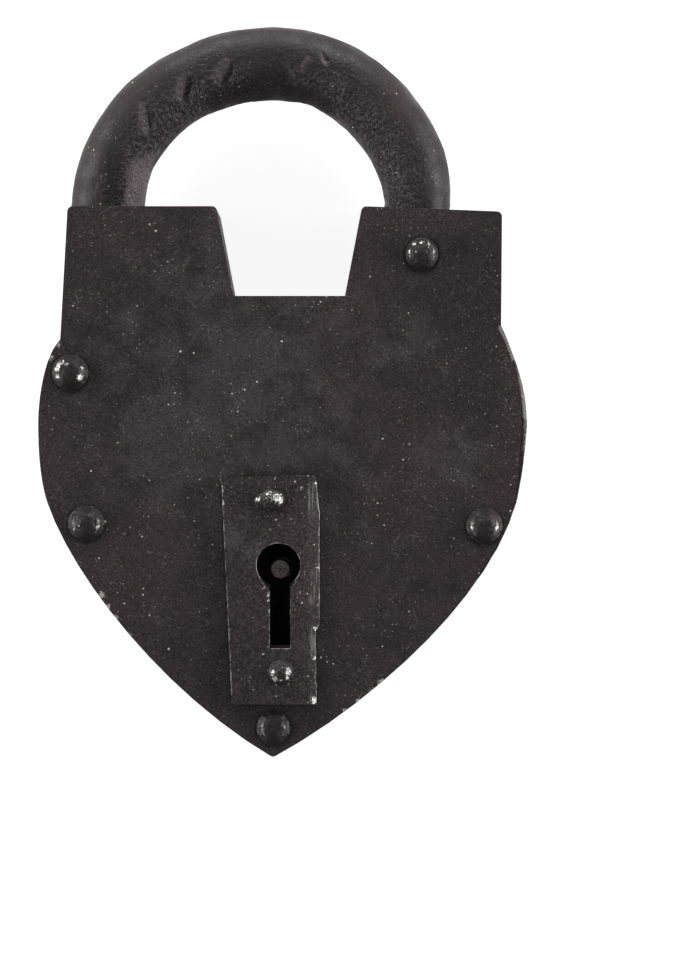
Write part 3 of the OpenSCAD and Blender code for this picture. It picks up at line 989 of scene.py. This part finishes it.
@dataclass
class Rivets(Piece):
    """The five round heads on the case, their shanks, and the tails spread flush behind."""

    depth: float = 23.0
    steps: int = 26
    turns: int = 72
    rim: float = 0.26
    rim_edge: float = 0.12
    tail: float = 1.0
    hammered: float = 0.16
    # The crescents stand where the side lamps shine on each head: worn bare and partly a painted
    # highlight.
    crescent_z: float = 24.2
    crescent_r: float = 2.55
    crescent_w: float = 0.85
    crescent: tuple[float, ...] = (-40.0, 0.0, 32.0)
    # Painted shade above and below each head.
    shade_r: float = 2.1
    shade_off: float = 3.0
    plain: Iron = Iron(
        "rivet_iron",
        dark=(0.0060, 0.0045, 0.0048),
        light=(0.0260, 0.0175, 0.0195),
        rubbed_and_lit=(0.34, 0.32, 0.31),
        dust=0.15,
        pricks=0.1,
        fibres=0.0,
        hammer=0.15,
        hammer_size=1.2,
        grain=0.03,
        roughness=0.40,
        gloss=0.15,
        edge_wear=0.0,
        ragged=0.5,
    )
    rivets: tuple[Rivet, ...] = (
        Rivet(
            "rivet_left",
            (-43.62, 3.40),
            (0.18, 0.21),
            # The spots on both flanks are partly a painted highlight; the upper ones are worn bare.
            (
                Spot((-46.2, 4.4, 24.2), 1.3, 0.62),
                Spot((-45.4, 5.3, 24.3), 1.1, 0.6),
                Spot((-44.3, 5.1, 25.0), 0.7, 0.48),
                Spot((-46.2, 2.6, 24.2), 0.9, 0.5),
                Spot((-41.5, 2.4, 24.4), 1.2, 0.62),
                Spot((-41.2, 4.2, 24.2), 0.8, 0.5),
            ),
        ),
        Rivet(
            "rivet_lower_left",
            (-40.31, -27.53),
            (0.25, 0.32),
            # Both flank spots are worn bare and partly a painted highlight.
            (Spot((-42.6, -28.8, 24.2), 0.8, 0.30), Spot((-37.9, -28.4, 24.2), 0.9, 0.34)),
        ),
        Rivet(
            "rivet_lower_right",
            (41.31, -27.98),
            (0.33, 0.31),
            # Both flank spots are worn bare and partly a painted highlight.
            (Spot((38.8, -28.4, 24.3), 0.8, 0.4), Spot((43.8, -28.6, 24.3), 0.9, 0.44)),
        ),
        Rivet("rivet_tip", (-1.96, -69.4), (0.34, 0.30), rise=1.7),
        Rivet(
            "shackle_pivot_rivet",
            (28.429, 27.7),
            (0.22, 0.24),
            (
                Spot((26.9, 29.6, 24.2), 0.9, 0.50),
                Spot((28.4, 30.0, 24.3), 0.9, 0.50),
                Spot((29.7, 29.7, 24.2), 0.8, 0.44),
                Spot((25.9, 28.0, 24.3), 0.8, 0.34),
                Spot((31.0, 28.2, 24.3), 0.8, 0.34),
                Spot((27.2, 28.2, 25.2), 0.5, 0.6),
            ),
            head_r=3.35,
            shank_r=2.5,
            slot=Slot.RIVET,
            crescent_low=0.8,
        ),
    )

    def build(self) -> None:
        """Build the four edge rivets and the one that the shackle turns on."""
        for rivet in self.rivets:
            self.place(self.shape(rivet), rivet.node, self.worn(rivet), slot=rivet.slot, crease=50.0)

    def worn(self, rivet: Rivet) -> Iron:
        """Return a rivet's finish: a crescent on each flank, worn bare and partly a painted highlight, and
        painted shade at its top and bottom.
        """
        x, y = rivet.at[0], rivet.at[1] - rivet.crescent_low
        crescents = []
        # Each flank's crescent is worn bare and partly a painted highlight.
        for side, strength in zip((-1.0, 1.0), rivet.rub_and_highlight):
            arc = []
            for turn in map(math.radians, self.crescent):
                across = side * self.crescent_r * math.cos(turn)
                arc.append((x + across, y + self.crescent_r * math.sin(turn), self.crescent_z))
            crescents += row_of_spots(tuple(arc), self.crescent_w, strength)
        # Painted shade above and below the head, which also makes it rougher there.
        ends = [(x, y + side * self.shade_off, self.depth + 1.0) for side in (-1.0, 1.0)]
        painted_shade = tuple(Spot(end, self.shade_r, 0.9, 0.3) for end in ends)
        name = f"{rivet.node}_iron"
        return replace(self.plain, name=name, bright=rivet.bright, polish_and_highlight=tuple(crescents), painted_shade=painted_shade)

    def shape(self, rivet: Rivet) -> BMesh:
        """Return a rivet's mesh: a tail, a shank and a hammered round head with a thin rim."""
        z, head_r, shank_r = self.depth, rivet.head_r, rivet.shank_r
        profile = [(0.0, 0.0), (shank_r + self.tail, 0.0), (shank_r, self.tail), (shank_r, z)]
        profile += [(head_r - self.rim_edge, z), (head_r, z + 0.1), (head_r, z + self.rim)]
        ball = (head_r**2 + rivet.rise**2) / (2.0 * rivet.rise)
        for i in range(2, self.steps + 1):
            r = head_r * (1.0 - i / self.steps)
            profile.append((r, z + rivet.rise - ball + math.sqrt(ball**2 - r**2)))
        bm = spun(profile, Vector((rivet.at[0] * MM, rivet.at[1] * MM, 0.0)), self.turns)
        for vert in bm.verts:
            point = vert.co / MM
            if point.z > z + 0.3:
                dip = self.hammered * (0.5 + 0.5 * wander(point, 0.45))
                vert.co.z -= dip * MM
        return bm


@dataclass
class KeyholeStrip(Piece):
    """The strip round the keyhole, its two small rivets, and the drill pin inside."""

    edge: float = 0.28
    cut: float = 1.3
    left_from: float = -9.5
    right_from: float = 6.5
    kept_black: float = 0.75
    iron: Iron = Iron(
        "strip_iron",
        rubbed_and_lit=(0.46, 0.44, 0.43),
        speckle=1.0,
        edge_wear=0.93,
        edge_reach=0.5,
        ragged=0.5,
        grain=0.06,
        hammer=0.08,
        hammer_size=4.0,
        filed=0.10,
        dust=0.8,
        pricks=0.5,
        fibres=0.15,
        smudges_and_painted_light=(Spot((-7.5, -31.0, 25.0), 8.0, 0.6),),
        bright=(
            Spot((6.5, -63.7, 24.2), 1.2, 0.55),
            Spot((7.0, -19.5, 24.2), 0.9, 0.5),
            Spot((7.4, -36.6, 24.0), 1.2, 0.5),
            Spot((6.8, -49.0, 24.0), 0.9, 0.55),
            Spot((6.6, -55.0, 24.0), 0.8, 0.5),
            Spot((-2.8, -41.6, 24.5), 0.7, 0.5),
            Spot((-2.8, -42.4, 24.5), 0.7, 0.55),
            Spot((-2.8, -43.4, 24.5), 0.6, 0.5),
            Spot((-2.7, -45.4, 24.5), 0.5, 0.45),
            Spot((-2.7, -49.0, 24.5), 0.5, 0.45),
            Spot((-3.8, -40.9, 24.5), 0.8, 0.35),
            Spot((-12.4, -20.4, 24.4), 0.9, 0.5),
            Spot((-12.2, -23.4, 24.4), 0.8, 0.5),
            Spot((-11.4, -62.0, 24.4), 0.8, 0.5),
        ),
    )
    small: Iron = Iron(
        "strip_rivet_iron",
        dark=(0.0050, 0.0037, 0.0041),
        light=(0.0300, 0.0228, 0.0248),
        rubbed_and_lit=(0.46, 0.435, 0.425),
        fibres=0.0,
        dust=0.2,
        hammer=0.26,
        hammer_size=0.9,
        roughness=0.38,
        gloss=0.18,
        ragged=0.5,
        bright=(
            Spot((-0.9, -22.3, 26.0), 2.1, 0.42),
            Spot((-3.2, -21.5, 25.8), 1.6, 0.42),
            Spot((-5.2, -22.7, 25.3), 1.2, 0.40),
            Spot((-0.6, -22.8, 26.0), 1.2, 0.2),
            Spot((-2.1, -58.0, 25.5), 1.0, 0.55),
            Spot((-1.6, -59.3, 25.6), 1.0, 0.55),
            Spot((-0.4, -59.6, 25.8), 0.8, 0.5),
            Spot((1.1, -57.8, 25.6), 1.3, 0.48),
            Spot((0.9, -59.0, 25.6), 0.9, 0.45),
        ),
        # Painted shade below each small rivet head.
        painted_shade=(Spot((-2.8, -25.2, 24.9), 1.9, 0.9, 0.5), Spot((-0.4, -60.6, 25.0), 1.3, 0.9, 0.5)),
    )
    pin: Iron = Iron(
        "drill_pin_iron",
        dark=(0.12, 0.092, 0.088),
        light=(0.40, 0.325, 0.31),
        worked=Grain.DRAWN_UP,
        speckle=0.9,
        dust=0.1,
        pricks=0.0,
        fibres=0.0,
        roughness=0.45,
        gloss=0.4,
        # Painted shade on the pin, deep in the keyhole.
        painted_shade=(Spot((-0.6, -37.0, 19.5), 0.45, 1.0, 0.4),),
    )

    def build(self) -> None:
        """Build the strip and its rivets, and finish the pin."""
        bm = merged(self.frame["nodes"]["keyhole_plate"])
        self.file_edges(bm)
        soften(bm, self.edge)
        self.keep_black(bm)
        self.place(bm, "keyhole_plate", self.iron)
        self.dress(("keyhole_rivet_upper", "keyhole_rivet_lower"), self.small)
        self.dress(("drill_pin",), self.pin)

    def keep_black(self, bm: BMesh) -> None:
        """Mark the short edges at the strip's top and bottom, where the black is kept."""
        kept = bm.faces.layers.float.new("kept")
        low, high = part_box("keyhole_plate")
        for face in bm.faces:
            middle = face.calc_center_median().y
            if min(middle - low.y, high.y - middle) < MM and abs(face.normal.x) < 0.5:
                face[kept] = self.kept_black

    def file_edges(self, bm: BMesh) -> None:
        """Cut the strip across, so that its long edges can waver, and mark its filed slope."""
        low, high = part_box("keyhole_plate")
        count = int((high.y - low.y) / (self.cut * MM))
        for i in range(1, count):
            place = Vector((0.0, low.y + (high.y - low.y) * i / count, 0.0))
            geom = [*bm.verts, *bm.edges, *bm.faces]
            plane = {"plane_co": place, "plane_no": (0.0, 1.0, 0.0)}
            bmesh.ops.bisect_plane(bm, geom=geom, dist=0.002 * MM, **plane)
        for vert in bm.verts:
            point = vert.co / MM
            if point.x > self.right_from:
                vert.co.x -= 0.34 * MM * max(0.0, noise.noise(Vector((0.0, point.y * 0.75, 3.0))))
                vert.co.x += 0.10 * MM * noise.noise(Vector((0.0, point.y * 2.1, point.z)))
            elif point.x < self.left_from:
                vert.co.x += 0.16 * MM * noise.noise(Vector((0.0, point.y * 0.5, 7.0)))
        bm.normal_update()
        filed = bm.faces.layers.float.new("filed")
        for face in bm.faces:
            face[filed] = 1.0 if 0.2 < face.normal.x < 0.75 and face.normal.z > 0.3 else 0.0


@dataclass
class Lockwork(Piece):
    """The bolt, its studs and washers, the wards and the leaf spring, inside the case."""

    iron: Iron = Iron(
        "inner_iron",
        dark=(0.050, 0.043, 0.040),
        light=(0.095, 0.083, 0.078),
        dust=0.15,
        fibres=0.2,
        edge_wear=0.6,
        roughness=0.46,
        gloss=0.4,
        worked=Grain.FILED_ALONG,
    )
    spring: Iron = Iron(
        "spring_steel",
        dark=(0.11, 0.11, 0.115),
        light=(0.20, 0.20, 0.205),
        dust=0.05,
        fibres=0.2,
        metallic=0.7,
        roughness=0.4,
        gloss=0.5,
        worked=Grain.DRAWN_UP,
    )

    def build(self) -> None:
        """Finish the parts inside the case."""
        studs = ("bolt_stud_left", "bolt_stud_right", "bolt_washer_left", "bolt_washer_right")
        self.dress(("ward_front", "ward_back", "bolt", *studs, "spring_post"), self.iron)
        self.dress(("bolt_spring",), self.spring)


# ---------------------------------------------------------------- studio


@dataclass
class Studio:
    """A white floor, soft lamps at the sides and a camera that looks straight down."""

    camera_at: Triple = (0.01374, -0.0207, 0.823)
    lens: float = 143.35
    sensor: float = 36.0
    paper: float = 0.35
    glow: float = 0.9
    fill: float = 0.12

    def build(self) -> None:
        """Build the floor, the world, the lamps and the camera."""
        self.floor()
        self.world()
        self.lamp("left_lamp", (-0.62, 0.04, 0.14), (0.7, 0.26), 7.0)
        self.lamp("right_lamp", (0.62, 0.04, 0.14), (0.7, 0.26), 7.0)
        self.lamp("top_lamp", (0.0, 0.66, 0.16), (0.7, 0.26), 6.0)
        self.camera()

    def floor(self) -> None:
        """Lay a white floor that looks white to the camera and keeps the shadow."""
        bm = bmesh.new()
        bmesh.ops.create_grid(bm, x_segments=1, y_segments=1, size=2.0)
        mesh = bpy.data.meshes.new("floor")
        bm.to_mesh(mesh)
        bm.free()
        paper = bpy.data.materials.new("floor_paper")
        mesh.materials.append(paper)
        g = Graph(paper)
        diffuse = g.add("ShaderNodeBsdfDiffuse", {"Color": (self.paper, self.paper, self.paper, 1.0)})
        light = g.level(self.seen(g), 0.0, self.glow)
        glow = g.add("ShaderNodeEmission", {"Color": WHITE, "Strength": light})
        both = g.add("ShaderNodeAddShader", {0: diffuse.outputs[0], 1: glow.outputs[0]})
        g.add("ShaderNodeOutputMaterial", {"Surface": both.outputs[0]})
        floor = add_object("floor", mesh)

    @staticmethod
    def seen(g: Graph) -> Socket:
        """Return 1 for rays from the camera, mirrored rays and rays through glass."""
        path = g.add("ShaderNodeLightPath").outputs
        direct = g.math("MAXIMUM", path["Is Camera Ray"], path["Is Glossy Ray"])
        return g.math("MAXIMUM", direct, path["Is Transmission Ray"])

    def world(self) -> None:
        """Light the scene evenly, and show white behind it."""
        world = bpy.data.worlds.new("studio_world")
        bpy.context.scene.world = world
        g = Graph(world)
        light = g.level(self.seen(g), self.fill, 1.0)
        back = g.add("ShaderNodeBackground", {"Color": WHITE, "Strength": light})
        g.add("ShaderNodeOutputWorld", {"Surface": back.outputs[0]})

    @staticmethod
    def lamp(name: str, at: Triple, size: Pair, power: float) -> None:
        """Hang a soft rectangular lamp that faces the lock.

        Args:
            name: The lamp's name.
            at: Where it hangs.
            size: Its width and height.
            power: Its power in watts.
        """
        lamp = bpy.data.lights.new(name, "AREA")
        lamp.shape = "RECTANGLE"
        lamp.size, lamp.size_y = size
        lamp.energy = power
        obj = add_object(name, lamp)
        obj.location = at
        aim = Vector((0.0, 0.0, 0.01)) - Vector(at)
        obj.rotation_euler = aim.to_track_quat("-Z", "Y").to_euler()

    def camera(self) -> None:
        """Hang the camera over the lock, its top towards the shackle."""
        lens = bpy.data.cameras.new("camera")
        lens.lens = self.lens
        lens.sensor_width = self.sensor
        lens.clip_start = 0.01
        camera = add_object("camera", lens)
        camera.location = self.camera_at
        bpy.context.scene.camera = camera
        bpy.context.scene.view_settings.view_transform = "Standard"


def main() -> None:
    """Load the frame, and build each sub-assembly."""
    logging.basicConfig(level=logging.INFO, format="%(message)s")
    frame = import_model()
    parts = [Case(frame), Shackle(frame), Rivets(frame), KeyholeStrip(frame), Lockwork(frame)]
    for part in parts:
        part.build()
        LOG.info("%s: %d pieces", type(part).__name__, len(part.made))
    Studio().build()


if __name__ == "__main__":
    main()
